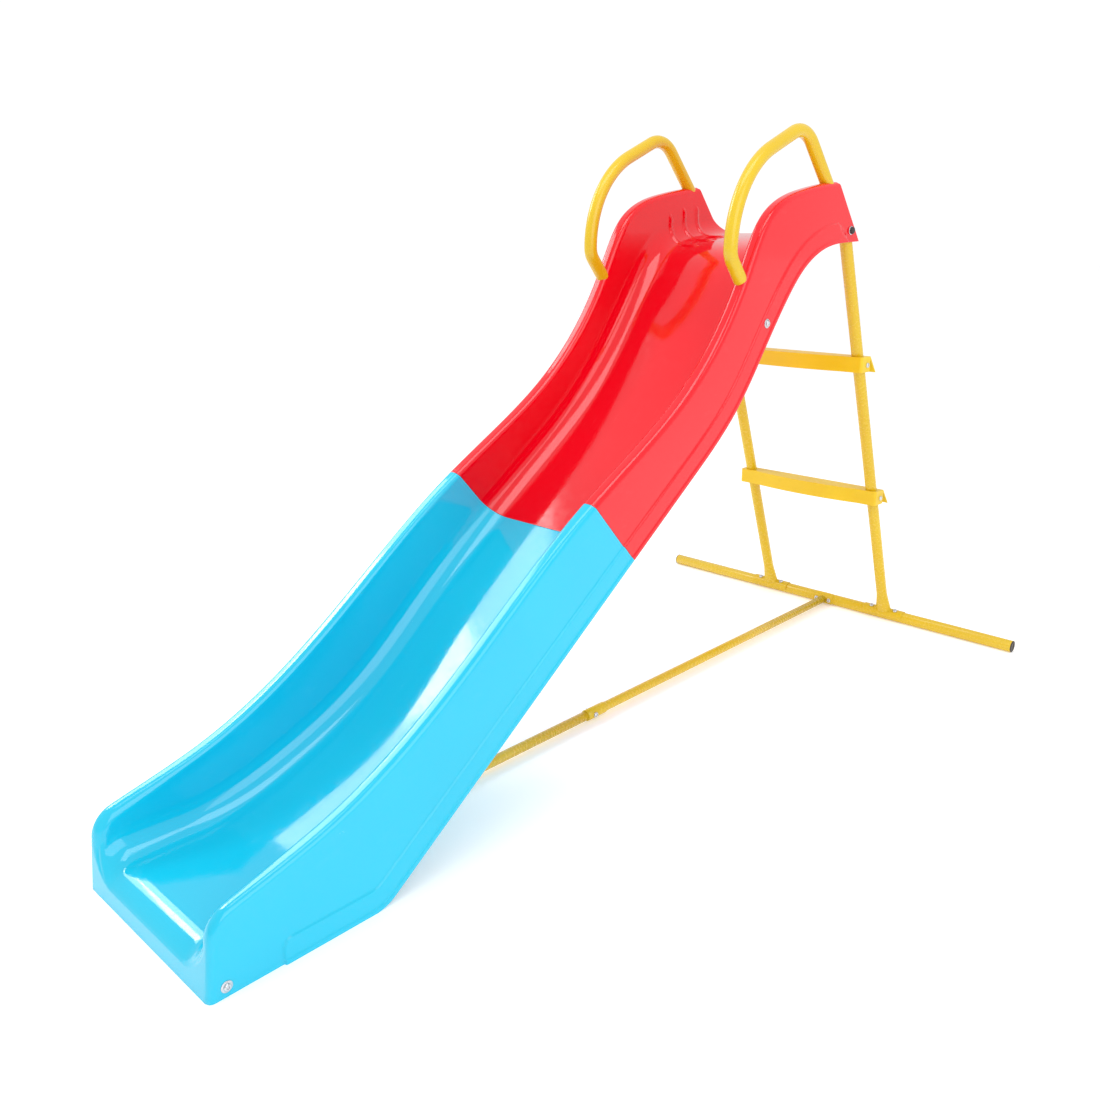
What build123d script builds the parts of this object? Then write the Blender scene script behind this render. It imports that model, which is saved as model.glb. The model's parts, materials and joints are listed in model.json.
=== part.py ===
"""Children's straight slide: two-piece chute, grab handles, ladder and floor frame.

Millimetres. +X across the slide, +Y from the exit towards the ladder, +Z up.
The origin is on the floor at the middle of the overall footprint. Side-view
points are given as (distance from the foot of the exit face, height).
"""
import os
from math import cos, radians, sin

from build123d import *

os.makedirs("parts", exist_ok=True)

# ---------------------------------------------------------------- dimensions
overall_length = 1861.5
exit_y = -overall_length / 2

# chute skin and section
wall = 4.0
flank_x = 180.0
trough_x = 152.0
trough_corner = 45.0
trough_clear = 260.0
rim_round = 10.0

# chute side view: (distance, height) with the slope in degrees where needed
front_foot = (0.0, 0.0, 83.2)
front_top = (10.0, 84.0, 83.2)
rim = [
    (44.4, 124.5, 16.0), (200, 171, 20), (364, 256, 32), (546, 388, 38), (700, 498, 33),
    (850, 586, 30.5), (963, 659, 36), (1060, 750, 49), (1130, 850, 60), (1166, 916, 58),
    (1201, 962, 44), (1250, 991, 20), (1320, 1009, 9), (1434, 1024, 4),
]
lip_front = (4, 27)
lip_slope = 62.0
lip_back = (44, 50)
floor_line = [
    (140, 50), (320, 91), (500, 184), (620, 282), (760, 391), (900, 488),
    (1040, 596), (1150, 716), (1240, 836), (1300, 890), (1370, 913), (1570, 934),
]
floor_end_slope = 5.0
foot_kink = (256.0, 0.0)
underline = [
    (294.3, 12.5, 36), (1000, 525, 36), (1116, 622, 45), (1197, 724, 53), (1262, 808, 51),
    (1323, 868, 36), (1400, 903, 11), (1529, 913, 3),
]

# joint between the two chute sections
joint_rim = (731.0, 511.0)
joint_foot = (833.0, 394.0)
joint_gap = 0.3
tongue_length = 45.0
tongue_root = 12.0
tongue_clear = 0.4
tongue_below_rim = 14.0

# raised band and bead along the lower edge of each flank
band_height = 38.0
band_proud = 2.5
band_start = 111.0
band_corner = 14.0
band_end = [(1450, 960), (1489, 905), (1600, 905), (1600, 960)]
bead_height = 7.0
bead_proud = 4.0

# finger ribs on the platform walls
rib_stations = [(1337, 902), (1383, 915), (1428, 919)]
rib_top = 962.0
rib_end_x = 82.0
rib_radius = 3.6

# tubes
tube_r = 12.5
bore_r = 11.0
spigot_r = 7.5
spigot_bore_r = 6.0
spigot_clear = 0.5
handle_x = 164.5
leg_x = 163.4
bar_r = 13.5
bar_bore_r = 12.0
bar_half = 480.0
bar_from_exit = 1848.0
cap_flange = 2.0
cap_plug = 14.0
cap_fit = 0.05
cap_round = 1.2
plug_length = 22.0
floor_bar_r = 9.5
floor_bar_bore_r = 8.0
sleeve_r = 11.2
sleeve_end = 909.0
sleeve_length = 52.0
sleeve_taper = 10.0
sleeve_overlap = 48.0
cross_from_exit = 27.0
cross_height = 16.0
cross_half = 175.0

# saddles welded to the tube ends
saddle_wall = 2.0
foot_saddle_half = 52.0
floor_saddle_half = 26.0
foot_screw_x = 31.0
floor_screw_x = 17.5

# bolts
bolt_r = 3.0
hole_r = 3.1
head_r = 5.5
head_height = 3.6
washer_wall = 1.2
washer_r = 8.5
shank_short = 12.0
shank_tread = 14.0
shank_front = 24.0
shank_handle = 25.0
shank_leg = 29.0
nut_r = 5.6
nut_height = 5.0
cap_wall = 1.6
leg_bolt = (1493.5, 934.0)
handle_bolt = (1201.0, 771.0)
sleeve_bolt_from_exit = 927.0

# grab handle centreline: buried ends, and corners between them with their bend radii
handle_top_end = (1499.3, 927.8)
handle_bends = [(1319.5, 1120.4, 60), (1099, 1028, 184), (1099, 892, 35)]
handle_low_end = (1214.0, 755.6)
handle_bore_low = (1114.0, 866.0)
handle_bore_high = (1440.0, 1062.0)

# ladder treads
tread_tops = [357.0, 675.0]
tread_half = 184.0
tread_height = 33.0
tread_wall = 3.0
tread_front = 17.7
tread_rear = 19.6
tread_bow = 12.0
tread_bow_half = 140.0
tread_corner = 6.0
tread_leg_clear = 0.3
tread_flange = (49.0, 37.0)
tread_screw_drop = 18.0
tread_screw_r = 2.5

# ladder lean, from the bar to the bolt at the top
leg_slope = 0.3804
rear_slope = 0.9335
leg_bend_height = 926.2
leg_above_bolt = 9.0
foot_flare_start = 72.0
foot_half_width = 22.0
foot_half_depth = 11.0
leg_facing = 90 + 20.83

side = Plane.YZ
bar_y = exit_y + bar_from_exit
cross_y = exit_y + cross_from_exit


# ---------------------------------------------------------------- outlines
def at(along, height):
    """Point of the side view in the row frame."""
    return (exit_y + along, height)


def heading(slope):
    return (cos(radians(slope)), sin(radians(slope)))


def shifted(stations, inset=0.0):
    """Outline stations moved square to the outline, to the left of its direction."""
    points = []
    for along, height, slope in stations:
        angle = radians(slope)
        points.append(at(along - inset * sin(angle), height + inset * cos(angle)))
    return points


def rim_line(inset):
    """Exit face, front corner and rim of the side outline, moved inwards by inset."""
    foot, shoulder = shifted([front_foot, front_top], -inset)
    top = shifted(rim, -inset)
    Line(foot, shoulder)
    TangentArc(shoulder, top[0], tangent=heading(front_top[2]))
    Spline(*top, tangents=[heading(rim[0][2]), heading(rim[-1][2])])
    return foot, top[-1]


def under_line(inset):
    """Lower edge of the flank, moved up by inset."""
    kink = at(foot_kink[0], foot_kink[1] + inset)
    points = shifted(underline, inset)
    TangentArc(kink, points[0], tangent=(1, 0))
    Line(points[0], points[1])
    Spline(*points[1:], tangents=[heading(underline[1][2]), heading(underline[-1][2])])
    return kink, points[-1]


def rim_edges(edges):
    """The four long edges of the two rim strips."""
    long = edges.filter_by(GeomType.BSPLINE).filter_by(lambda edge: edge.length > 1000)
    return long.sort_by(Axis.Z)[-4:]


# ---------------------------------------------------------------- chute helpers
def trough(inset):
    """U-shaped sweep along the running line, widened and deepened by inset."""
    points = [at(*lip_front), at(*lip_back)] + [at(*point) for point in floor_line]
    with BuildPart() as cut:
        with BuildLine(side) as path:
            Spline(points[0], points[1], tangents=[heading(lip_slope), (1, 0)])
            Line(points[1], points[2])
            Spline(*points[2:], tangents=[(1, 0), heading(floor_end_slope)])
        run = path.wires()[0]
        with BuildSketch(Plane(origin=run @ 0, x_dir=(-1, 0, 0), z_dir=run % 0)):
            with Locations((0, trough_clear / 2 - inset)):
                RectangleRounded(2 * (trough_x + inset), trough_clear, trough_corner + inset)
        sweep(path=run)
    return cut.part


def hollow(inset, rounding=0.0):
    """Space inside a skin of the given thickness, open below and behind."""
    with BuildPart() as space:
        with BuildSketch(side):
            with BuildLine():
                foot, top = rim_line(inset)
                behind, below = at(overall_length, -flank_x)
                Polyline(foot, (foot[0], below), (behind, below), (behind, top[1]), top)
            make_face()
        extrude(amount=flank_x - inset, both=True)
        add(trough(inset), mode=Mode.SUBTRACT)
        if rounding:
            fillet(rim_edges(space.edges()), rounding)
    return space.part


def edge_strip(height, proud):
    """Raised strip of the given height along the lower edge of both flanks."""
    with BuildPart() as strip:
        with BuildSketch(side.offset(flank_x - 1)) as face:
            with BuildLine():
                low_kink, low_end = under_line(0)
                high_kink, high_end = under_line(height)
                Line(low_end, high_end)
                Polyline(low_kink, at(band_start, 0), at(band_start, height), high_kink)
            make_face()
            with BuildLine():
                Polyline(*[at(*point) for point in band_end], close=True)
            make_face(mode=Mode.SUBTRACT)
            if height > band_corner:
                corner = (flank_x - 1, *at(band_start, height))
                fillet(face.vertices().sort_by_distance(corner)[0], band_corner)
        extrude(amount=1 + proud)
        mirror(about=side)
    return strip.part


def joint_plane(past):
    """Plane of the chute joint, moved up the slide by past."""
    drop = Vector(joint_foot[0] - joint_rim[0], joint_foot[1] - joint_rim[1]).normalized()
    plane = Plane(origin=(0, *at(*joint_rim)), x_dir=(1, 0, 0), z_dir=(0, -drop.Y, drop.X))
    return plane.offset(past)


def outline_block(inset):
    """Side outline moved in by inset from the rim, across the full width."""
    with BuildPart() as block:
        with BuildSketch(side):
            with BuildLine():
                foot, top = rim_line(inset)
                kink, tail = under_line(0)
                Line(top, tail)
                Line(foot, kink)
            make_face()
        extrude(amount=flank_x, both=True)
    return block.part


def layer(outer, inner, low, high):
    """Skin between two insets, between two planes either side of the joint."""
    with BuildPart() as skin:
        add(hollow(outer))
        add(hollow(inner), mode=Mode.SUBTRACT)
        add(outline_block(tongue_below_rim), mode=Mode.INTERSECT)
        split(bisect_by=joint_plane(low), keep=Keep.TOP)
        split(bisect_by=joint_plane(high), keep=Keep.BOTTOM)
    return skin.part


# ---------------------------------------------------------------- chute body
with BuildPart() as body:
    add(outline_block(0))
    add(trough(0), mode=Mode.SUBTRACT)
    fillet(rim_edges(body.edges()), rim_round)

with BuildPart() as skin:
    add(body.part)
    add(hollow(wall, rim_round - wall), mode=Mode.SUBTRACT)
    add(edge_strip(band_height, band_proud))
    add(edge_strip(bead_height, bead_proud))


# ---------------------------------------------------------------- handles
def rod(radius, x):
    """Round bar of the given radius along the handle line."""
    with BuildPart() as bar:
        with BuildLine(side.offset(x)) as path:
            Polyline(at(*handle_top_end), *[at(*bend[:2]) for bend in handle_bends], at(*handle_low_end))
            for along, height, bend in handle_bends:
                fillet(path.vertices().sort_by_distance((x, *at(along, height)))[0], bend)
        run = path.wires()[0]
        with BuildSketch(Plane(origin=run @ 0, z_dir=run % 0)):
            Circle(radius)
        sweep(path=run)
    return bar.part


with BuildPart() as handle_bore:
    add(rod(bore_r, handle_x))
    above = Vector(handle_bore_high[0] - handle_bore_low[0], handle_bore_high[1] - handle_bore_low[1])
    split(
        bisect_by=Plane(origin=(0, *at(*handle_bore_low)), x_dir=(1, 0, 0), z_dir=(0, -above.Y, above.X)),
        keep=Keep.TOP,
    )

with BuildPart() as handle:
    add(rod(tube_r, handle_x))
    add(body.part, mode=Mode.SUBTRACT)
    add(handle.solids().sort_by(Axis.Z)[-1], mode=Mode.REPLACE)
    add(rod(spigot_r, handle_x))
    add(handle_bore.part, mode=Mode.SUBTRACT)
    add(rod(spigot_bore_r, handle_x), mode=Mode.SUBTRACT)
    for place in (leg_bolt, handle_bolt):
        with Locations(Plane(origin=(handle_x, *at(*place)), z_dir=(1, 0, 0))):
            Cylinder(hole_r, 3 * tube_r, mode=Mode.SUBTRACT)

with BuildPart() as handle_right:
    add(handle.part)
handle_right.part.label = "handle_right"
export_step(handle_right.part, "parts/handle_right.step")

with BuildPart() as handle_left:
    add(handle.part)
    mirror(about=side, mode=Mode.REPLACE)
handle_left.part.label = "handle_left"
export_step(handle_left.part, "parts/handle_left.step")

# ---------------------------------------------------------------- chute sections
def finger_rib(from_exit, floor_height):
    """Rounded rib down one platform wall and onto the floor."""
    across = Plane(origin=(0, exit_y + from_exit, 0), x_dir=(1, 0, 0), z_dir=(0, -1, 0))
    with BuildPart() as rib:
        with BuildLine(across) as path:
            turn = (trough_x - trough_corner, floor_height)
            Line((trough_x, rib_top), (trough_x, floor_height + trough_corner))
            RadiusArc((trough_x, floor_height + trough_corner), turn, trough_corner)
            Line(turn, (rib_end_x, floor_height))
        run = path.wires()[0]
        with BuildSketch(Plane(origin=run @ 0, z_dir=run % 0)):
            Circle(rib_radius)
        sweep(path=run)
        for x, height in ((trough_x, rib_top), (rib_end_x, floor_height)):
            with Locations((x, exit_y + from_exit, height)):
                Sphere(rib_radius)
        mirror(about=side)
    return rib.part


with BuildPart() as drilled:
    add(skin.part)
    add(rod(spigot_r + spigot_clear, handle_x), mode=Mode.SUBTRACT)
    add(rod(spigot_r + spigot_clear, -handle_x), mode=Mode.SUBTRACT)
    for place in (leg_bolt, handle_bolt, (cross_from_exit, cross_height)):
        for x in (-flank_x, flank_x):
            with Locations(Plane(origin=(x, *at(*place)), z_dir=(1, 0, 0))):
                Cylinder(hole_r, 3 * wall, mode=Mode.SUBTRACT)

with BuildPart() as chute_lower:
    add(drilled.part)
    split(bisect_by=joint_plane(0), keep=Keep.BOTTOM)
chute_lower.part.label = "chute_lower"
export_step(chute_lower.part, "parts/chute_lower.step")

with BuildPart() as chute_upper:
    add(drilled.part)
    split(bisect_by=joint_plane(joint_gap), keep=Keep.TOP)
    add(layer(wall - 1, 2 * wall + tongue_clear, joint_gap, tongue_root))
    add(layer(wall + tongue_clear, 2 * wall + tongue_clear, -tongue_length, tongue_root))
    for from_exit, floor_height in rib_stations:
        add(finger_rib(from_exit, floor_height))
chute_upper.part.label = "chute_upper"
export_step(chute_upper.part, "parts/chute_upper.step")


# ---------------------------------------------------------------- floor frame
def pipe(outer, inner, start, end):
    """Straight tube between two points."""
    start = Vector(*start)
    run = Vector(*end) - start
    with BuildPart() as result:
        with BuildSketch(Plane(origin=start, z_dir=run)):
            Circle(outer)
            Circle(inner, mode=Mode.SUBTRACT)
        extrude(amount=run.length)
    return result.part


def saddle(centre, inner, half, facing, low, high):
    """Part-cylinder plate round a cross bar, spanning low to high degrees about its facing."""
    x, y, z = centre
    outer = inner + saddle_wall
    with BuildPart() as plate:
        with BuildSketch(side.offset(x - half)):
            with Locations((y, z)):
                Circle(outer)
                Circle(inner, mode=Mode.SUBTRACT)
            with BuildLine():
                rays = [heading(facing + turn) for turn in (low, 0, high)]
                fan = [(y + 2 * outer * along, z + 2 * outer * up) for along, up in rays]
                Polyline((y, z), *fan, close=True)
            make_face(mode=Mode.INTERSECT)
        extrude(amount=2 * half)
    return plate.part


def drill(x, y, z, facing, radius, depth):
    """Round cutter from a bar axis outwards, in the side-view direction facing."""
    direction = (0, *heading(facing))
    with BuildPart() as cutter:
        with BuildSketch(Plane(origin=(x, y, z), z_dir=direction)):
            Circle(radius)
        extrude(amount=depth)
    return cutter.part


def headed_screw(point, direction, shank, length, seat_washer=False):
    """Dome-headed screw: the head sits at point and faces along direction."""
    seat = Plane(origin=point, z_dir=direction)
    with BuildPart() as screw:
        if seat_washer:
            with BuildSketch(seat):
                Circle(washer_r)
            extrude(amount=washer_wall)
        base = seat.offset(washer_wall if seat_washer else 0)
        with BuildSketch(base):
            Circle(head_r)
        extrude(amount=head_height)
        rings = screw.edges().filter_by(GeomType.CIRCLE)
        fillet(rings.sort_by_distance(base.offset(3 * head_height).origin)[0], head_height * 0.6)
        with BuildSketch(seat):
            Circle(shank)
        extrude(amount=-length)
    return screw.part


bar_axis = (0, bar_y, bar_r)
cross_axis = (0, cross_y, cross_height)
foot_screws = [sx * leg_x + dx for sx in (-1, 1) for dx in (-foot_screw_x, foot_screw_x)]
floor_screws = [-floor_screw_x, floor_screw_x]

with BuildPart() as rear_ground_bar:
    add(pipe(bar_r, bar_bore_r, (-bar_half, bar_y, bar_r), (bar_half, bar_y, bar_r)))
    for x in foot_screws:
        add(drill(x, bar_y, bar_r, leg_facing, hole_r, 2 * bar_r), mode=Mode.SUBTRACT)
    for x in floor_screws:
        add(drill(x, bar_y, bar_r, 180, hole_r, 2 * bar_r), mode=Mode.SUBTRACT)
rear_ground_bar.part.label = "rear_ground_bar"
export_step(rear_ground_bar.part, "parts/rear_ground_bar.step")

with BuildPart() as end_caps:
    for way in (-1, 1):
        with BuildSketch(Plane(origin=(way * bar_half, bar_y, bar_r), z_dir=(way, 0, 0))):
            Circle(bar_r)
        extrude(amount=cap_flange)
        with BuildSketch(Plane(origin=(way * bar_half, bar_y, bar_r), z_dir=(-way, 0, 0))):
            Circle(bar_bore_r - cap_fit)
            Circle(bar_bore_r - cap_flange, mode=Mode.SUBTRACT)
        extrude(amount=cap_plug)
    rims = end_caps.edges().filter_by(GeomType.CIRCLE).sort_by(Axis.X)
    fillet([rims[0], rims[-1]], cap_round)
end_caps.part.label = "end_caps"
export_step(end_caps.part, "parts/end_caps.step")

for name, way in (("left", -1), ("right", 1)):
    with BuildPart() as foot_saddle:
        add(saddle((way * leg_x, bar_y, bar_r), bar_r, foot_saddle_half, leg_facing, -80, 80))
        for dx in (-foot_screw_x, foot_screw_x):
            add(drill(way * leg_x + dx, bar_y, bar_r, leg_facing, hole_r, 2 * bar_r), mode=Mode.SUBTRACT)
    foot_saddle.part.label = f"foot_saddle_{name}"
    export_step(foot_saddle.part, f"parts/foot_saddle_{name}.step")

with BuildPart() as floor_bar_saddle:
    add(saddle(bar_axis, bar_r, floor_saddle_half, 180, -85, 50))
    for x in floor_screws:
        add(drill(x, bar_y, bar_r, 180, hole_r, 2 * bar_r), mode=Mode.SUBTRACT)
floor_bar_saddle.part.label = "floor_bar_saddle"
export_step(floor_bar_saddle.part, "parts/floor_bar_saddle.step")

with BuildPart() as front_saddle:
    add(saddle(cross_axis, tube_r, floor_saddle_half, 0, -75, 75))
    for x in floor_screws:
        add(drill(x, cross_y, cross_height, 0, hole_r, 2 * tube_r), mode=Mode.SUBTRACT)
front_saddle.part.label = "front_saddle"
export_step(front_saddle.part, "parts/front_saddle.step")

with BuildPart() as front_cross_tube:
    add(pipe(tube_r, bore_r, (-cross_half, cross_y, cross_height), (cross_half, cross_y, cross_height)))
    for x in floor_screws:
        add(drill(x, cross_y, cross_height, 0, hole_r, 2 * tube_r), mode=Mode.SUBTRACT)
front_cross_tube.part.label = "front_cross_tube"
export_step(front_cross_tube.part, "parts/front_cross_tube.step")

with BuildPart() as cross_tube_plugs:
    for way in (-1, 1):
        with BuildSketch(Plane(origin=(way * cross_half, cross_y, cross_height), z_dir=(-way, 0, 0))):
            Circle(bore_r)
            Circle(bolt_r, mode=Mode.SUBTRACT)
        extrude(amount=plug_length)
cross_tube_plugs.part.label = "cross_tube_plugs"
export_step(cross_tube_plugs.part, "parts/cross_tube_plugs.step")

sleeve_y = exit_y + sleeve_end
rear_end_y = bar_y - bar_r - saddle_wall
with BuildPart() as floor_bar_rear:
    with BuildSketch(Plane(origin=(0, sleeve_y, bar_r), z_dir=(0, 1, 0))):
        Circle(sleeve_r)
        Circle(floor_bar_r + 0.1, mode=Mode.SUBTRACT)
    extrude(amount=sleeve_length)
    neck = Plane(origin=(0, sleeve_y + sleeve_length, bar_r), z_dir=(0, 1, 0))
    with BuildSketch(neck):
        Circle(sleeve_r)
    with BuildSketch(neck.offset(sleeve_taper)):
        Circle(floor_bar_r)
    loft()
    with BuildSketch(neck):
        Circle(floor_bar_r + 0.1)
    with BuildSketch(neck.offset(sleeve_taper)):
        Circle(floor_bar_bore_r)
    loft(mode=Mode.SUBTRACT)
    tube_start = neck.offset(sleeve_taper).origin
    add(pipe(floor_bar_r, floor_bar_bore_r, tube_start, (0, rear_end_y, bar_r)))
    with Locations(Plane(origin=(0, exit_y + sleeve_bolt_from_exit, bar_r), z_dir=(1, 0, 0))):
        Cylinder(hole_r, 4 * sleeve_r, mode=Mode.SUBTRACT)
floor_bar_rear.part.label = "floor_bar_rear"
export_step(floor_bar_rear.part, "parts/floor_bar_rear.step")

front_start_y = cross_y + tube_r + saddle_wall - 1.0
with BuildPart() as floor_bar_front:
    add(pipe(floor_bar_r, floor_bar_bore_r, (0, front_start_y, bar_r), (0, sleeve_y + sleeve_overlap, bar_r)))
    with BuildSketch(side.offset(-2 * floor_bar_r)):
        with Locations((cross_y, cross_height)):
            Circle(tube_r + saddle_wall)
    extrude(amount=4 * floor_bar_r, mode=Mode.SUBTRACT)
    with Locations(Plane(origin=(0, exit_y + sleeve_bolt_from_exit, bar_r), z_dir=(1, 0, 0))):
        Cylinder(hole_r, 4 * sleeve_r, mode=Mode.SUBTRACT)
floor_bar_front.part.label = "floor_bar_front"
export_step(floor_bar_front.part, "parts/floor_bar_front.step")

# ---------------------------------------------------------------- ladder
bolt_y, bolt_z = at(*leg_bolt)
bend_y = bar_y - leg_slope * (leg_bend_height - bar_r)
leg_top = (leg_x, bolt_y - leg_above_bolt * rear_slope, bolt_z + leg_above_bolt)
flare_y = bar_y - leg_slope * (foot_flare_start - bar_r)
foot_axis = Vector(0, -leg_slope, 1).normalized()

with BuildPart() as leg:
    for radius, mode in ((tube_r, Mode.ADD), (bore_r, Mode.SUBTRACT)):
        with BuildLine() as path:
            Polyline((leg_x, flare_y, foot_flare_start), (leg_x, bend_y, leg_bend_height), leg_top)
        run = path.wires()[0]
        with BuildSketch(Plane(origin=run @ 0, x_dir=(1, 0, 0), z_dir=foot_axis)):
            Circle(radius)
        sweep(path=run, transition=Transition.RIGHT, mode=mode)
    for grow, mode in ((0.0, Mode.ADD), (tube_r - bore_r, Mode.SUBTRACT)):
        with BuildSketch(Plane(origin=(leg_x, flare_y, foot_flare_start), x_dir=(1, 0, 0), z_dir=foot_axis)):
            Circle(tube_r - grow)
        with BuildSketch(Plane(origin=(leg_x, bar_y, bar_r), x_dir=(1, 0, 0), z_dir=foot_axis)):
            Ellipse(foot_half_width - grow, foot_half_depth - grow)
        loft(mode=mode)
    with BuildSketch(side):
        with Locations((bar_y, bar_r)):
            Circle(bar_r + saddle_wall)
    extrude(amount=2 * leg_x, mode=Mode.SUBTRACT)
    with Locations(Plane(origin=(leg_x, bolt_y, bolt_z), z_dir=(1, 0, 0))):
        Cylinder(hole_r, 4 * tube_r, mode=Mode.SUBTRACT)
    for top in tread_tops:
        height = top - tread_screw_drop
        screw_y = bar_y - leg_slope * (height - bar_r)
        with Locations((leg_x + tube_r, screw_y, height)):
            Cylinder(tread_screw_r, 2 * tube_r, rotation=(0, 90, 0), mode=Mode.SUBTRACT)

with BuildPart() as ladder_leg_right:
    add(leg.part)
ladder_leg_right.part.label = "ladder_leg_right"
export_step(ladder_leg_right.part, "parts/ladder_leg_right.step")

with BuildPart() as ladder_leg_left:
    add(leg.part)
    mirror(about=side, mode=Mode.REPLACE)
ladder_leg_left.part.label = "ladder_leg_left"
export_step(ladder_leg_left.part, "parts/ladder_leg_left.step")


def tread_plan(front, rear, half):
    """Plan outline of a tread with its bowed front edge."""
    Polyline((-tread_bow_half, front), (-half, front), (-half, rear))
    ThreePointArc((-tread_bow_half, front), (0, front - tread_bow), (tread_bow_half, front))
    Polyline((tread_bow_half, front), (half, front), (half, rear), (-half, rear))


def tread(top):
    """Inverted channel step with bowed front, end lugs and a sloping rear flange."""
    axis_y = bar_y - leg_slope * (top - bar_r)
    front = axis_y - tread_front
    rear = axis_y + tread_rear
    flange_y = axis_y + tread_flange[0]
    flange_z = top - tread_flange[1]
    with BuildPart() as step:
        with BuildSketch(Plane.XY.offset(top)) as plan:
            with BuildLine():
                tread_plan(front, rear, tread_half)
            make_face()
            nose = plan.vertices().filter_by(lambda v: v.Y < front + 1 and abs(v.X) > tread_half - 1)
            fillet(nose, tread_corner)
        extrude(amount=-tread_height)
        with BuildSketch(Plane.XY.offset(top - tread_wall)):
            with BuildLine():
                tread_plan(front + tread_wall, rear + tread_half, tread_half - tread_wall)
            make_face()
        extrude(amount=-tread_height, mode=Mode.SUBTRACT)
        with BuildSketch(side):
            Polygon(
                (rear - tread_wall, top - tread_wall), (rear, top),
                (flange_y, flange_z), (flange_y - tread_wall, flange_z),
                align=None,
            )
        extrude(amount=tread_half, both=True)
        for way in (-1, 1):
            with BuildSketch(Plane(origin=(way * leg_x, axis_y, top), x_dir=(1, 0, 0), z_dir=foot_axis)):
                Circle(tube_r + tread_leg_clear)
            extrude(amount=tread_height, both=True, mode=Mode.SUBTRACT)
            screw_z = top - tread_screw_drop
            with Locations((way * tread_half, bar_y - leg_slope * (screw_z - bar_r), screw_z)):
                Cylinder(tread_screw_r + 0.1, 4 * tread_wall, rotation=(0, 90, 0), mode=Mode.SUBTRACT)
    return step.part


for name, top in zip(("lower", "upper"), tread_tops):
    with BuildPart() as ladder_tread:
        add(tread(top))
    ladder_tread.part.label = f"tread_{name}"
    export_step(ladder_tread.part, f"parts/tread_{name}.step")

# ---------------------------------------------------------------- fasteners
with BuildPart() as tread_screws:
    for top in tread_tops:
        height = top - tread_screw_drop
        for way in (-1, 1):
            point = (way * tread_half, bar_y - leg_slope * (height - bar_r), height)
            add(headed_screw(point, (way, 0, 0), tread_screw_r, shank_tread))
tread_screws.part.label = "tread_screws"
export_step(tread_screws.part, "parts/tread_screws.step")

foot_out = Vector(0, *heading(leg_facing))
with BuildPart() as foot_bolts:
    for x in foot_screws:
        seat_point = Vector(x, bar_y, bar_r) + foot_out * (bar_r + saddle_wall)
        add(headed_screw(seat_point, foot_out, bolt_r, shank_short))
foot_bolts.part.label = "foot_bolts"
export_step(foot_bolts.part, "parts/foot_bolts.step")

with BuildPart() as floor_bar_bolts:
    for x in floor_screws:
        add(headed_screw((x, rear_end_y, bar_r), (0, -1, 0), bolt_r, shank_short))
        front_point = (x, cross_y + tube_r + saddle_wall, cross_height)
        add(headed_screw(front_point, (0, 1, 0), bolt_r, shank_short))
floor_bar_bolts.part.label = "floor_bar_bolts"
export_step(floor_bar_bolts.part, "parts/floor_bar_bolts.step")

sleeve_seat = (sleeve_r, exit_y + sleeve_bolt_from_exit, bar_r)
with BuildPart() as sleeve_bolt:
    add(headed_screw(sleeve_seat, (1, 0, 0), bolt_r, 2 * sleeve_r + nut_height + 2))
sleeve_bolt.part.label = "sleeve_bolt"
export_step(sleeve_bolt.part, "parts/sleeve_bolt.step")

with BuildPart() as sleeve_nut:
    with BuildSketch(Plane(origin=(-sleeve_r, exit_y + sleeve_bolt_from_exit, bar_r), z_dir=(-1, 0, 0))):
        RegularPolygon(nut_r, 6)
        Circle(bolt_r, mode=Mode.SUBTRACT)
    extrude(amount=nut_height)
sleeve_nut.part.label = "sleeve_nut"
export_step(sleeve_nut.part, "parts/sleeve_nut.step")

with BuildPart() as front_bolts:
    for way in (-1, 1):
        add(headed_screw((way * flank_x, cross_y, cross_height), (way, 0, 0), bolt_r, shank_front, True))
front_bolts.part.label = "front_bolts"
export_step(front_bolts.part, "parts/front_bolts.step")

band_face = flank_x + band_proud
with BuildPart() as handle_bolts:
    for way in (-1, 1):
        add(headed_screw((way * band_face, *at(*handle_bolt)), (way, 0, 0), bolt_r, shank_handle, True))
handle_bolts.part.label = "handle_bolts"
export_step(handle_bolts.part, "parts/handle_bolts.step")

with BuildPart() as leg_bolts:
    for way in (-1, 1):
        add(headed_screw((way * flank_x, *at(*leg_bolt)), (way, 0, 0), bolt_r, shank_leg, True))
leg_bolts.part.label = "leg_bolts"
export_step(leg_bolts.part, "parts/leg_bolts.step")

with BuildPart() as bolt_caps:
    for way in (-1, 1):
        seat = Plane(origin=(way * (flank_x + washer_wall), *at(*leg_bolt)), z_dir=(way, 0, 0))
        with BuildSketch(seat):
            Circle(head_r + cap_wall)
        extrude(amount=head_height + cap_wall)
        with BuildSketch(seat):
            Circle(head_r + 0.1)
        extrude(amount=head_height + 0.1, mode=Mode.SUBTRACT)
bolt_caps.part.label = "bolt_caps"
export_step(bolt_caps.part, "parts/bolt_caps.step")
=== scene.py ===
"""Visual model of the children's slide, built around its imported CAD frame."""
import json
from math import cos, pi, radians, sin, sqrt

import bmesh
import bpy
import numpy as np
from mathutils import Matrix, Vector

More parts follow.
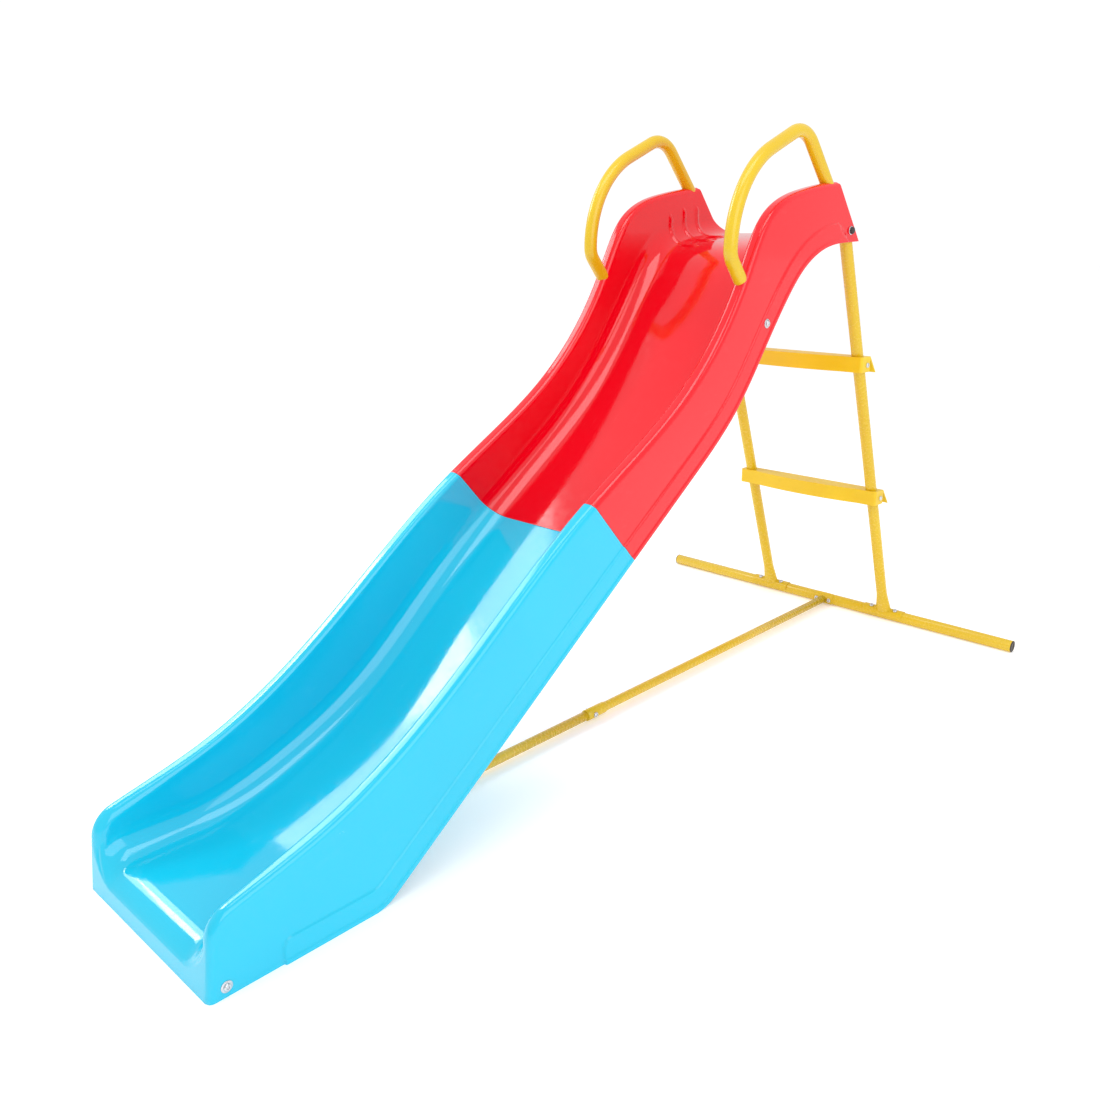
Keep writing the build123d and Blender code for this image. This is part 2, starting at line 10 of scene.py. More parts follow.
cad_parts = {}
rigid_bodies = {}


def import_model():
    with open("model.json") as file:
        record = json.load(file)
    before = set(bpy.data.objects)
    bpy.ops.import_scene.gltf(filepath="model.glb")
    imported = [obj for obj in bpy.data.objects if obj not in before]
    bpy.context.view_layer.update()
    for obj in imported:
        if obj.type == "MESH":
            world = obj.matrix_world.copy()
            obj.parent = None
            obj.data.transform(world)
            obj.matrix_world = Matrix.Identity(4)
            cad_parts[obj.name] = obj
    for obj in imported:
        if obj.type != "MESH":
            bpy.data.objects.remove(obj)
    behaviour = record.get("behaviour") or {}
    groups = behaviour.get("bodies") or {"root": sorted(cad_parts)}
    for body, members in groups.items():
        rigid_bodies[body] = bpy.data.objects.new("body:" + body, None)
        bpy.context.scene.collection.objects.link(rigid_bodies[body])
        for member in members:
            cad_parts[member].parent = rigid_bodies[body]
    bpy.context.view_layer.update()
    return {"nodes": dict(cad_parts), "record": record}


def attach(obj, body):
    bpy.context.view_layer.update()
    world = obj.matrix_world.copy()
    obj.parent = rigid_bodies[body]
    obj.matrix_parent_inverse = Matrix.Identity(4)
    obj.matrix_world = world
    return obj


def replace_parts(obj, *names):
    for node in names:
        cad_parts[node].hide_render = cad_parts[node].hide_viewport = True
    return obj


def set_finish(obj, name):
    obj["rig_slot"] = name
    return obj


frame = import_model()

# ------------------------------------------------------------------ sizes, mm
# Side-view points are (distance from the foot of the exit face, height).
EXIT_Y = -930.75
FLANK_X = 180.0
TROUGH_X = 152.0
CORNER_R = 45.0
RIM_R = 10.0
FRONT_ROLL = 17.0
SKIN = 4.0
FACE_SLOPE = 83.2
LEVEL_END = 250.0
END_REACH = 90.0
EDGE_ROUND = 0.7
BAND = 38.0
BAND_PROUD = 2.5
BAND_START = 111.0
BEAD = 7.0
BEAD_PROUD = 4.0
JOINT_GAP = 0.7
TUBE_R = 12.5
SPIGOT_R = 7.4
HANDLE_X = 164.5
LEG_X = 163.4
BAR_R = 13.5
BAR_SKIN_R = 13.45
BAR_ALONG = 1848.0
BAR_HALF = 480.0
FLOOR_BAR_R = 9.5
LEG_SLOPE = 0.3804
LEG_TOP_SLOPE = 0.9335
LEG_BEND_Z = 926.2
LEG_BOLT = (1493.5, 934)
HANDLE_BOLT = (1201, 771)
CROSS = (27.0, 16.0)
TREAD_TOPS = (357.0, 675.0)

rim = [
    (44.4, 124.5), (200, 171), (364, 256), (546, 388), (700, 498), (850, 586), (963, 659), (1060, 750),
    (1130, 850), (1166, 916), (1201, 962), (1250, 991), (1320, 1009), (1434, 1024),
]
floor_points = [
    (140, 50), (320, 91), (500, 184), (620, 282), (760, 391), (900, 488), (1040, 596), (1150, 716),
    (1240, 836), (1300, 890), (1370, 913), (1570, 934),
]
under_points = [(1000, 525), (1116, 622), (1197, 724), (1262, 808), (1323, 868), (1400, 903), (1529, 913)]
joint_rim, joint_foot = np.array((731.0, 511.0)), np.array((833.0, 394.0))
rear_rim, rear_foot = np.array((1434.0, 1024.0)), np.array((1529.0, 913.0))


# ------------------------------------------------------------------ curves
def heading(degrees):
    return np.array((cos(radians(degrees)), sin(radians(degrees))))


def spline(points, first, last, step=1.5):
    """C2 curve through points, leaving and arriving at the given slopes in degrees."""
    p = np.array(points, float)
    h = np.linalg.norm(np.diff(p, axis=0), axis=1)
    n = len(p)
    a, b = np.zeros((n, n)), np.zeros((n, 2))
    a[0, 0] = a[-1, -1] = 1
    b[0], b[-1] = heading(first), heading(last)
    for i in range(1, n - 1):
        a[i, i - 1], a[i, i], a[i, i + 1] = h[i], 2 * (h[i - 1] + h[i]), h[i - 1]
        b[i] = 3 * (h[i - 1] * (p[i + 1] - p[i]) / h[i] + h[i] * (p[i] - p[i - 1]) / h[i - 1])
    m = np.linalg.solve(a, b)
    out = [p[:1]]
    for i in range(n - 1):
        t = np.linspace(0, 1, max(3, int(h[i] / step) + 1))[1:, None]
        out.append(
            (2 * t**3 - 3 * t**2 + 1) * p[i] + (t**3 - 2 * t**2 + t) * h[i] * m[i]
            + (3 * t**2 - 2 * t**3) * p[i + 1] + (t**3 - t**2) * h[i] * m[i + 1]
        )
    return np.concatenate(out)


def segment(start, end, step=1.5):
    start, end = np.array(start, float), np.array(end, float)
    count = max(2, int(np.linalg.norm(end - start) / step) + 1)
    return start + np.linspace(0, 1, count)[:, None] * (end - start)


def tangent_arc(start, slope, end, step=1.5):
    """Arc from start, leaving at slope degrees, to end."""
    start, end = np.array(start, float), np.array(end, float)
    normal = np.array((-sin(radians(slope)), cos(radians(slope))))
    chord = end - start
    r = chord @ chord / (2 * chord @ normal)
    centre = start + r * normal
    a0 = np.arctan2(*(start - centre)[::-1])
    turn = np.arctan2(*(end - centre)[::-1]) - a0
    turn = (turn + pi) % (2 * pi) - pi
    angles = a0 + np.linspace(0, 1, max(6, int(abs(turn * r) / step) + 1)) * turn
    return centre + abs(r) * np.stack([np.cos(angles), np.sin(angles)], 1)


def chain(*runs):
    """Runs joined end to end, without repeated points."""
    return np.concatenate([runs[0]] + [run[1:] for run in runs[1:]])


def lengths(line):
    return np.concatenate([[0], np.cumsum(np.linalg.norm(np.diff(line, axis=0), axis=1))])


def along(line, s):
    """Points at the given arc lengths of a line."""
    t = lengths(line)
    return np.stack([np.interp(s, t, line[:, k]) for k in range(line.shape[1])], 1)


def station(line, point):
    """Arc length of the line's point nearest to point."""
    return lengths(line)[np.linalg.norm(line - np.array(point), axis=1).argmin()]


def crossing(line, p, q):
    """Arc length where the line crosses the straight line through p and q."""
    d = q - p
    side = (line[:, 0] - p[0]) * d[1] - (line[:, 1] - p[1]) * d[0]
    i = np.where(side[:-1] * side[1:] <= 0)[0][0]
    t = lengths(line)
    return t[i] + (t[i + 1] - t[i]) * side[i] / (side[i] - side[i + 1])


def nearest(points, line):
    """Signed distance (positive to the right of the line) and right-hand normal at the foot."""
    a, d = line[:-1], np.diff(line, axis=0)
    dd = (d**2).sum(1)
    normals = np.stack([d[:, 1], -d[:, 0]], 1) / np.sqrt(dd)[:, None]
    dist, norm, foot = np.empty(len(points)), np.empty((len(points), 2)), np.empty(len(points))
    t = lengths(line)
    for i in range(0, len(points), 2000):
        p = points[i:i + 2000, None]
        f = np.clip(((p - a) * d).sum(2) / dd, 0, 1)
        gap = p - a - f[..., None] * d
        k = (gap**2).sum(2).argmin(1)
        rows = np.arange(len(k))
        gap = gap[rows, k]
        size = np.linalg.norm(gap, axis=1)
        sign = np.where((gap * normals[k]).sum(1) >= 0, 1.0, -1.0)
        dist[i:i + 2000] = size * sign
        clean = size > 0.02
        direction = normals[k].copy()
        direction[clean] = (gap / np.maximum(size, 1e-9)[:, None] * sign[:, None])[clean]
        norm[i:i + 2000] = direction
        foot[i:i + 2000] = t[k] + f[rows, k] * np.sqrt(dd[k])
    return dist, norm, foot


front_top = np.array((10.0, 84.0))
front_line = segment((0, 0), front_top)
top_line = chain(tangent_arc(front_top, FACE_SLOPE, rim[0]), spline(rim, 16, 4))
outline = chain(front_line, top_line)
lip_line = spline([(4, 27), (44, 50)], 62, 0)
floor_line = chain(lip_line, segment((44, 50), (140, 50)), spline(floor_points, 0, 5))
under_line = chain(
    segment((0, 0), (256, 0)), tangent_arc((256, 0), 0, (294.3, 12.5)),
    segment((294.3, 12.5), (1000, 525)), spline(under_points, 36, 3),
)


# ------------------------------------------------------------------ mesh helpers
def to_object(name, vertices, faces, body="root"):
    """Mesh object from vertices in mm, (across, from exit, up), riding on a body."""
    v = np.array(vertices, float)
    v = np.stack([v[:, 0], v[:, 1] + EXIT_Y, v[:, 2]], 1) / 1000
    mesh = bpy.data.meshes.new(name)
    mesh.from_pydata(v.tolist(), [], [tuple(int(i) for i in f) for f in faces])
    mesh.validate()
    mesh.shade_smooth()
    obj = bpy.data.objects.new(name, mesh)
    bpy.context.scene.collection.objects.link(obj)
    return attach(obj, body)


def weld(obj, gap=0.00005):
    """Joins doubled points and points every face outwards."""
    bm = bmesh.new()
    bm.from_mesh(obj.data)
    bmesh.ops.remove_doubles(bm, verts=bm.verts, dist=gap)
    bmesh.ops.recalc_face_normals(bm, faces=bm.faces)
    bm.to_mesh(obj.data)
    bm.free()
    obj.data.shade_smooth()
    return obj


def grid_faces(rows, columns, start=0, close=False):
    """Quads of a grid of points stored row by row."""
    faces = []
    for i in range(rows - 1):
        for j in range(columns if close else columns - 1):
            k = (j + 1) % columns
            a = start + i * columns
            faces.append((a + j, a + k, a + columns + k, a + columns + j))
    return faces


def modifier(obj, kind, **values):
    m = obj.modifiers.new(kind.lower(), kind)
    for key, value in values.items():
        setattr(m, key, value)
    return m


# ------------------------------------------------------------------ chute
def ease(values, passes=60):
    """Smooths a rising list while keeping its ends."""
    v = values.copy()
    for _ in range(passes):
        v[1:-1] = 0.25 * v[:-2] + 0.5 * v[1:-1] + 0.25 * v[2:]
    return v


def columns_of(anchors, spots):
    """Arc lengths on rim, floor and underside at each column.

    anchors: matching arc lengths on the three lines. spots: (floor arc length, half width, step)
    where columns lie closer together.
    """
    anchors = np.array(anchors)
    master = np.linspace(anchors[0, 1], anchors[-1, 1], 600)
    tops = ease(np.interp(master, anchors[:, 1], anchors[:, 0]))
    unders = ease(np.interp(master, anchors[:, 1], anchors[:, 2]))
    cut, s = [master[0]], master[0]
    while s < master[-1]:
        step = 5.0
        for centre, half, fine in spots:
            away = abs(s - centre)
            step = min(step, fine + max(0.0, away - half) * 0.12)
        s += step
        cut.append(s)
    cut = np.array(cut)
    cut = cut[0] + (cut - cut[0]) * (master[-1] - cut[0]) / (cut[-1] - cut[0])
    return np.interp(cut, master, tops), cut, np.interp(cut, master, unders)


FLOOR_ROWS, CORNER_ROWS, WALL_ROWS, STRIP_ROWS, BOTTOM_ROWS = 20, 16, 28, 22, 20
band_offsets = np.array([0, 1.2, 2.6, 4.6, 6.0, 7.2, 8.4, 11, 18, 26, 32, 35, 36.4, 37.6, BAND + 1.2])
FLANK_ROWS = 30 + len(band_offsets) - 1


def band_relief(points, d_under):
    """Height of the raised band and its bead on the flank."""
    y, z = points[:, 0], points[:, 1]
    cut_a, cut_b = np.array((1453.0, 938.0)), np.array((1482.0, 915.0))
    n = np.array((cut_b[1] - cut_a[1], -(cut_b[0] - cut_a[0])))
    n = -n / np.linalg.norm(n)
    behind = (y - cut_a[0]) * n[0] + (z - cut_a[1]) * n[1]
    front = BAND_START - y

    def step(top, corner):
        over = d_under - top
        a, b = front + corner, over + corner
        sdf = np.minimum(np.maximum(a, b), 0) + np.hypot(np.maximum(a, 0), np.maximum(b, 0)) - corner
        sdf = np.maximum(sdf, behind)
        t = np.clip(0.5 - sdf / 2.4, 0, 1)
        return t * t * (3 - 2 * t)

    return BAND_PROUD * step(BAND, 14.0) + (BEAD_PROUD - BAND_PROUD) * step(BEAD, 1.0)


def rolled(x, side_points, out_x, out_side, depth, reach, radius):
    """Rounds the edge where a surface meets the outline.

    out_x and out_side point from the surface into the material and out of the outline; depth is each
    point's distance from the outline, reach its distance from the surface.
    """
    r = np.maximum(radius, 1e-6)
    on_surface = (reach < 1e-6) & (depth < r)
    turn = np.where(on_surface, (1 - depth / r) * pi / 4, 0)
    on_outline = (depth < 1e-6) & (reach < r)
    turn = np.where(on_outline, pi / 2 - (1 - reach / r) * pi / 4, turn)
    active = on_surface | on_outline
    sideways = np.where(active, r * (1 - np.cos(turn)) - reach, 0)
    sunk = np.where(active, r * (1 - np.sin(turn)) - depth, 0)
    return x + out_x * sideways, side_points - out_side * sunk[:, None]


def roll_radius(s):
    """Inner edge radius by arc length of the outline: wide round the exit, narrow up the rim."""
    t = np.clip((s - 120) / 160, 0, 1)
    return FRONT_ROLL + (RIM_R - FRONT_ROLL) * t * t * (3 - 2 * t)


def rib_relief(x, y, z):
    """Finger ribs down the platform walls and onto the floor."""
    height = np.zeros(len(x))
    for centre, base in ((1337.0, 902.0), (1383.0, 915.0), (1428.0, 919.0)):
        rise = z - base
        run = np.where(rise < CORNER_R, 0, rise - CORNER_R) + np.where(
            rise < CORNER_R, 0, CORNER_R * pi / 2)
        in_corner = (np.abs(x) > TROUGH_X - CORNER_R) & (rise < CORNER_R)
        angle = np.arctan2(np.abs(x) - (TROUGH_X - CORNER_R), np.maximum(CORNER_R - rise, 1e-6))
        run = np.where(in_corner, CORNER_R * angle, run)
        on_floor = np.abs(x) <= TROUGH_X - CORNER_R
        run = np.where(on_floor, np.abs(x) - (TROUGH_X - CORNER_R), run)
        low, high = -24.0, CORNER_R * pi / 2 + 15.0
        past = np.maximum(np.maximum(low - run, run - high), 0)
        gap = np.hypot(y - centre, past)
        t = np.clip(1 - gap / 6.2, 0, 1)
        height = np.maximum(height, 3.6 * t * t * (3 - 2 * t))
    return height


def half_sheet(anchors, spots, front, ribs):
    """Outer surface of one chute section for x >= 0: (vertices, faces) in mm."""
    s_top, s_floor, s_under = columns_of(anchors, spots)
    n = len(s_top)
    top, low, under = along(top_line, s_top), along(floor_line, s_floor), along(under_line, s_under)
    up = top - low
    depth = np.linalg.norm(up, axis=1)
    up /= depth[:, None]
    vertices, kinds = [], []

    def put(x, side, kind):
        vertices.append(np.stack([x, side[:, 0], side[:, 1]], 1))
        kinds.append(kind)

    # trough: centre of the floor, corner, wall
    for k in range(FLOOR_ROWS + 1):
        put(np.full(n, (TROUGH_X - CORNER_R) * k / FLOOR_ROWS), low, ("floor", 0))
    for k in range(1, CORNER_ROWS + 1):
        a = pi / 2 * k / CORNER_ROWS
        x = TROUGH_X - CORNER_R + CORNER_R * sin(a)
        put(np.full(n, x), low + up * CORNER_R * (1 - cos(a)), ("corner", a))
    for k in range(1, WALL_ROWS + 1):
        t = 1 - (1 - k / WALL_ROWS) ** 1.7
        put(np.full(n, TROUGH_X), low + up * (CORNER_R + (depth - CORNER_R) * t)[:, None], ("wall", 0))
    for k in range(1, STRIP_ROWS + 1):
        put(np.full(n, TROUGH_X + (FLANK_X - TROUGH_X) * k / STRIP_ROWS), top, ("strip", 0))

    # flank: from the rim down to the band line, then at fixed heights over the underside
    normal = np.empty_like(under)
    tangent = np.gradient(under, axis=0)
    tangent /= np.linalg.norm(tangent, axis=1)[:, None]
    normal[:, 0], normal[:, 1] = -tangent[:, 1], tangent[:, 0]
    normal[under[:, 0] < LEVEL_END] = (0, 1)
    toward = (top - under) / np.linalg.norm(top - under, axis=1)[:, None]
    from_start, to_end = s_under - s_under[0], s_under[-1] - s_under
    blend = np.clip((under[:, 0] - 20) / 70, 0, 1) if front else np.clip(from_start / END_REACH, 0, 1)
    blend = (blend * np.clip(to_end / END_REACH, 0, 1))[:, None]
    lean = toward * (1 - blend) + normal * blend
    lean /= (lean * normal).sum(1)[:, None]
    band_top = under + lean * BAND
    upper = FLANK_ROWS - len(band_offsets) + 1
    front_share = np.clip(1 - under[:, :1] / END_REACH, 0, 1)
    for k in range(1, FLANK_ROWS + 1):
        if k <= upper:
            t = k / upper
            t = 0.5 * t + 0.5 * (t * t * (3 - 2 * t))
            side = top + (band_top - top) * t
        else:
            side = under + lean * band_offsets[::-1][k - upper]
        early = min(1.0, k / WALL_ROWS)
        late = max(0.0, (k - WALL_ROWS) / (FLANK_ROWS - WALL_ROWS))
        front_side = top + (under - top) * (0.34 * early + 0.66 * late)
        side = side * (1 - front_share) + front_side * front_share
        put(np.full(n, FLANK_X), side, ("flank", 0))

    rows = len(vertices)
    first_strip = FLOOR_ROWS + CORNER_ROWS + WALL_ROWS
    points = np.concatenate(vertices)
    row_kind = np.repeat([k[0] for k in kinds], n)
    row_angle = np.repeat([k[1] for k in kinds], n)
    faces = grid_faces(rows, n)
    x, side = points[:, 0].copy(), points[:, 1:].copy()
    d, normals, foot = nearest(side, outline)
    d = np.maximum(d, 0)
    outward = -normals
    strip = row_kind == "strip"
    d[strip | (np.arange(len(x)) // n == first_strip)] = 0

    # round the inner edge, then the outer edge, along the outline
    inner = (row_kind == "wall") | strip | (row_kind == "corner")
    share = np.where(row_kind == "corner", np.clip(row_angle / (pi / 2), 0, 1) ** 2, 1)
    radius = roll_radius(foot) * share
    out_x = np.where(row_kind == "corner", np.sin(row_angle), 1.0)
    reach = np.where(strip, x - TROUGH_X, 0)
    new_x, new_side = rolled(x, side, out_x, outward, d, reach, radius)
    x, side = np.where(inner, new_x, x), np.where(inner[:, None], new_side, side)
    outer = (row_kind == "flank") | strip
    reach = np.where(strip, FLANK_X - points[:, 0], 0)
    new_x, new_side = rolled(x, points[:, 1:], -1.0, outward, d, reach, np.full(len(x), RIM_R))
    pick = outer & ~(strip & (reach > RIM_R))
    x, side = np.where(pick, new_x, x), np.where(pick[:, None], new_side, side)

    # band, bead and ribs
    flank = row_kind == "flank"
    d_under = -nearest(points[flank][:, 1:], under_line)[0]
    x[flank] += band_relief(points[flank][:, 1:], d_under)
    if ribs:
        trough = (row_kind == "floor") | (row_kind == "corner") | (row_kind == "wall")
        bump = rib_relief(points[:, 0], points[:, 1], points[:, 2]) * trough
        along_up = np.repeat(up[None], rows, 0).reshape(-1, 2)
        in_x = np.where(row_kind == "wall", -1.0, np.where(row_kind == "corner", -np.sin(row_angle), 0))
        in_up = np.where(row_kind == "wall", 0.0, np.where(row_kind == "corner", np.cos(row_angle), 1))
        x += bump * in_x
        side += along_up * (bump * in_up)[:, None]
    sheet = np.stack([x, side[:, 0], np.maximum(side[:, 1], 0)], 1)
    if not front:
        return sheet, faces

    # exit face between the trough's edge and the outline
    def plate(k):
        """Sharp inner and outer edge points of the exit face for row k, counted from the rim."""
        a = points[(first_strip - k) * n]
        if k <= FLANK_ROWS:
            b = points[(first_strip + STRIP_ROWS + k) * n]
        else:
            b = np.array((FLANK_X * (1 - (k - FLANK_ROWS) / BOTTOM_ROWS), 0.0, 0.0))
        return a, b

    lean_back = radians(FACE_SLOPE)
    face_normal = np.array((-sin(lean_back), cos(lean_back)))
    centre = np.array((TROUGH_X - CORNER_R, points[0][2] + CORNER_R))
    start = len(sheet)
    extra = []
    for k in range(1, first_strip + 1):
        a, b = plate(k)
        for j in range(1, STRIP_ROWS):
            p = a + (b - a) * j / STRIP_ROWS
            if p[2] >= centre[1]:
                q, direction = p[0] - TROUGH_X, np.array((1.0, 0.0))
            elif p[0] <= centre[0]:
                q, direction = points[0][2] - p[2], np.array((0.0, -1.0))
            else:
                v = np.array((p[0], p[2])) - centre
                q, direction = np.linalg.norm(v) - CORNER_R, v / np.linalg.norm(v)
            angle_here = pi / 2 if p[2] >= centre[1] else np.arctan2(direction[0], -direction[1])
            r = FRONT_ROLL * max(0.0, angle_here / (pi / 2)) ** 2
            px, back = p[0], 0.0
            pz = p[2]
            if q < r:
                turn = pi / 2 - (1 - q / r) * pi / 4
                shift = r * (1 - cos(turn)) - q
                px, pz = px + direction[0] * shift, pz + direction[1] * shift
                back = r * (1 - sin(turn))
            q_out = FLANK_X - p[0]
            if q_out < RIM_R:
                turn = pi / 2 - (1 - q_out / RIM_R) * pi / 4
                px = FLANK_X - RIM_R * (1 - cos(turn))
                back = max(back, RIM_R * (1 - sin(turn)))
            on_plane = np.array((pz / np.tan(lean_back), pz)) - face_normal * back
            extra.append((px, on_plane[0], on_plane[1]))
    sheet = np.concatenate([sheet, np.array(extra)])
    bottom = [(plate(k)[1][0], 0.0, 0.0) for k in range(FLANK_ROWS + 1, first_strip + 1)]
    bottom_start = len(sheet)
    sheet = np.concatenate([sheet, np.array(bottom)])

    def index(k, j):
        if k == 0:
            return (first_strip + j) * n
        if j == 0:
            return (first_strip - k) * n
        if j == STRIP_ROWS:
            if k <= FLANK_ROWS:
                return (first_strip + STRIP_ROWS + k) * n
            return bottom_start + k - FLANK_ROWS - 1
        return start + (k - 1) * (STRIP_ROWS - 1) + j - 1

    for k in range(first_strip):
        for j in range(STRIP_ROWS):
            faces.append((index(k, j), index(k + 1, j), index(k + 1, j + 1), index(k, j + 1)))
    return sheet, faces


def shelled(obj, cuts):
    """Gives a one-sided mesh its wall. Rims lie in the cut planes or square to the lower edge.

    cuts: (point, direction) of the straight side-view lines the section ends on.
    """
    bm = bmesh.new()
    bm.from_mesh(obj.data)
    bm.verts.ensure_lookup_table()
    outer = np.array([v.co for v in bm.verts]) * 1000 - np.array((0, EXIT_Y, 0))
    away = np.array([v.normal for v in bm.verts])
    rim_of = [(e.verts[0].index, e.verts[1].index) for f in bm.faces for e in f.edges if e.is_boundary]
    edge = sorted({i for pair in rim_of for i in pair})
    side = outer[edge][:, 1:]
    below = nearest(side, under_line)
    on_under = np.abs(below[0]) < 1.5
    for row, i in enumerate(edge):
        planes = [d for p, d in cuts if abs((side[row] - p) @ np.array((-d[1], d[0]))) < 0.3]
        for d in planes:
            m = np.array((0, -d[1], d[0]))
            away[i] -= m * (m @ away[i])
        if on_under[row] and not planes:
            m = np.array((0, *below[1][row]))
            away[i] -= m * (m @ away[i])
        elif on_under[row]:
            away[i] = (away[i][0], 0, 0)
        away[i] /= np.linalg.norm(away[i])
    inner = outer - away * SKIN
    inner[:, 2] = np.maximum(inner[:, 2], 0)
    count = len(outer)
    faces = [[v.index for v in f.verts] for f in bm.faces]
    walls = []
    for f in bm.faces:
        for loop in f.loops:
            if loop.edge.is_boundary:
                a, b = loop.vert.index, loop.link_loop_next.vert.index
                walls.append((b, a, a + count, b + count))
    bm.free()
    faces += [[i + count for i in reversed(f)] for f in faces] + walls
    both = np.concatenate([outer, inner])
    both = np.stack([both[:, 0], both[:, 1] + EXIT_Y, both[:, 2]], 1) / 1000
    mesh = bpy.data.meshes.new(obj.name)
    mesh.from_pydata(both.tolist(), [], faces)
    mesh.shade_smooth()
    obj.data = mesh
    return obj


def chute(name, node, slot, anchors, spots, cuts, front=False, ribs=False):
    """One chute section as a closed skin."""
    sheet, faces = half_sheet(anchors, spots, front, ribs)
    count = len(sheet)
    mirrored = sheet * np.array((-1, 1, 1))
    both = np.concatenate([sheet, mirrored])
    faces = faces + [tuple(i + count for i in reversed(f)) for f in faces]
    obj = weld(to_object(name, both, faces))
    floor_face = max(obj.data.polygons, key=lambda p: abs(p.normal.z) - abs(p.center.x))
    if floor_face.normal.z < 0:
        obj.data.flip_normals()
    shelled(obj, cuts)
    modifier(obj, "BEVEL", width=EDGE_ROUND / 1000, segments=2, limit_method="ANGLE", angle_limit=radians(50))
    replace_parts(obj, node)
    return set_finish(obj, slot)


def anchor(a, b, c):
    """Arc lengths of three side-view points on rim, floor and underside."""
    return (station(top_line, a), station(floor_line, b), station(under_line, c))


up_slope = (joint_foot - joint_rim) / np.linalg.norm(joint_foot - joint_rim)
past_joint = np.array((-up_slope[1], up_slope[0])) * JOINT_GAP
rear_slope = (rear_foot - rear_rim) / np.linalg.norm(rear_foot - rear_rim)


def cut_at(p, q):
    """Arc lengths where a straight side-view cut from rim p to foot q meets the three lines."""
    past = (q - p) * 0.1
    return (crossing(top_line, p - past, q), crossing(floor_line, p, q), crossing(under_line, p, q + past))


joint_low = cut_at(joint_rim, joint_foot)
joint_high = cut_at(joint_rim + past_joint, joint_foot + past_joint)
rear_cut = (lengths(top_line)[-1], crossing(floor_line, rear_rim, rear_foot), lengths(under_line)[-1])

lower_anchors = [
    (0.0, 0.0, 0.0), anchor((44.4, 124.5), (30, 46), (22, 0)), anchor((112, 142), (112, 50), (111, 0)),
    anchor((200, 171), (236, 62), (262, 1)), anchor((364, 256), (424, 140), (452, 127)),
    anchor((546, 388), (618, 280), (645, 267)), joint_low,
]
upper_anchors = [
    joint_high, anchor((963, 659), (1036, 593), (1075, 585)), anchor((1060, 750), (1128, 690), (1160, 674)),
    anchor((1166, 916), (1240, 836), (1262, 808)), anchor((1250, 991), (1318, 899), (1340, 880)),
    anchor((1320, 1009), (1390, 917), (1410, 905)), rear_cut,
]
band_start = station(floor_line, (BAND_START, 50))
rib_spots = [(station(floor_line, (y, 915)), 6.0, 1.1) for y in (1337, 1383, 1428)]
chute(
    "chute_lower_skin", "chute_lower", "chute_blue", lower_anchors,
    [(0.0, 26.0, 1.6), (band_start, 14.0, 1.3), (joint_low[1], 3.0, 1.5)],
    [(joint_rim, up_slope)], front=True,
)
chute(
    "chute_upper_skin", "chute_upper", "chute_red", upper_anchors,
    [(joint_high[1], 3.0, 1.5), (rear_cut[1], 36.0, 2.0)] + rib_spots,
    [(joint_rim + past_joint, up_slope), (rear_rim, rear_slope)], ribs=True,
)


# ------------------------------------------------------------------ tubes
def bent(corners, step=2.5):
    """Side-view path through corners given as (along, up, bend radius), ends with radius 0."""
    points = [np.array(corners[0][:2], float)]
    for before, here, after in zip(corners[:-2], corners[1:-1], corners[2:]):
        p, q, r = (np.array(c[:2], float) for c in (before, here, after))
        a, b = (p - q) / np.linalg.norm(p - q), (r - q) / np.linalg.norm(r - q)
        half = np.arccos(np.clip(a @ b, -1, 1)) / 2
        reach = here[2] / np.tan(half)
        centre = q + (a + b) / np.linalg.norm(a + b) * here[2] / np.sin(half)
        start, end = q + a * reach - centre, q + b * reach - centre
        turn = pi - 2 * half
        axis = np.sign(start[0] * end[1] - start[1] * end[0])
        for t in np.linspace(0, 1, max(8, int(turn * here[2] / step))):
            c, s = cos(axis * turn * t), sin(axis * turn * t)
            points.append(centre + np.array((c * start[0] - s * start[1], s * start[0] + c * start[1])))
    points.append(np.array(corners[-1][:2], float))
    line = np.array(points)
    total = lengths(line)[-1]
    return along(line, np.linspace(0, total, int(total / step) + 1))


def tube(path, radii, around=40, wide=None):
    """Vertices and faces of a closed tube along a path of (x, y, z), with a radius at each point."""
    path = np.array(path, float)
    run = np.gradient(path, axis=0)
    run /= np.linalg.norm(run, axis=1)[:, None]
    side = np.array((1.0, 0, 0)) if abs(run[0, 0]) < 0.9 else np.array((0, 0, 1.0))
    angles = np.linspace(0, 2 * pi, around, endpoint=False)
    vertices = []
    for i, p in enumerate(path):
        u = side - run[i] * (side @ run[i])
        u /= np.linalg.norm(u)
        v = np.cross(run[i], u)
        w = radii[i] if wide is None else wide[i]
        vertices += [p + u * w * cos(a) + v * radii[i] * sin(a) for a in angles]
    faces = grid_faces(len(path), around, close=True)
    count = len(vertices)
    for ring, centre in ((0, path[0]), (len(path) - 1, path[-1])):
        vertices.append(centre)
        for j in range(around):
            k = (j + 1) % around
            tri = (ring * around + j, ring * around + k, count + (0 if ring == 0 else 1))
            faces.append(tri if ring else tri[::-1])
    return vertices, faces


def merged(parts):
    """Several (vertices, faces) lists as one."""
    vertices, faces = [], []
    for v, f in parts:
        start = len(vertices)
        vertices += [tuple(p) for p in v]
        faces += [tuple(i + start for i in face) for face in f]
    return vertices, faces


handle_path = bent([
    (1499.3, 927.8, 0), (1319.5, 1120.4, 60), (1099, 1028, 184), (1099, 892, 35), (1214, 755.6, 0),
])
inside = nearest(handle_path, outline)[0]
squeeze = np.clip((inside - 7) / 9, 0, 1)
handle_radii = TUBE_R + (SPIGOT_R - TUBE_R) * squeeze * squeeze * (3 - 2 * squeeze)
for side, way in (("right", 1), ("left", -1)):
    path = [(way * HANDLE_X, y, z) for y, z in handle_path]
    obj = weld(to_object(f"handle_{side}_tube", *tube(path, handle_radii)))
    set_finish(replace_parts(obj, f"handle_{side}"), "tube_paint")


